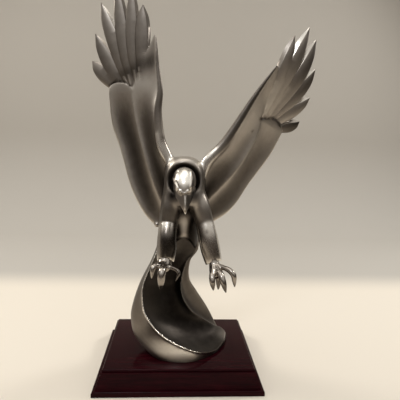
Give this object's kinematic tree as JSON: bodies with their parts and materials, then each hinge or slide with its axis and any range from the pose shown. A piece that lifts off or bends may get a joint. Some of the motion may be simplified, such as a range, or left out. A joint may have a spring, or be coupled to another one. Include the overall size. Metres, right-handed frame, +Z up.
{
  "type": "eagle statue",
  "caption": "Stylised plated eagle landing with raised wings and open talons, carried by a twisted fluted wave on a lacquered wooden plinth.",
  "frame": {"origin": "centre of the plinth's underside", "axes": "+Z up, the eagle's head and talons towards -Y, +X to the right when facing the statue"},
  "size_m": [0.2281, 0.1265, 0.3714],
  "materials": {
    "silver_plate": "antiqued silver plate, polished on the ridges and satin in the hollows",
    "dark_lacquer": "dark mahogany gloss lacquer"
  },
  "bodies": {
    "root": {"eagle_casting": "silver_plate", "wooden_plinth": "dark_lacquer"}
  },
  "joints": []
}
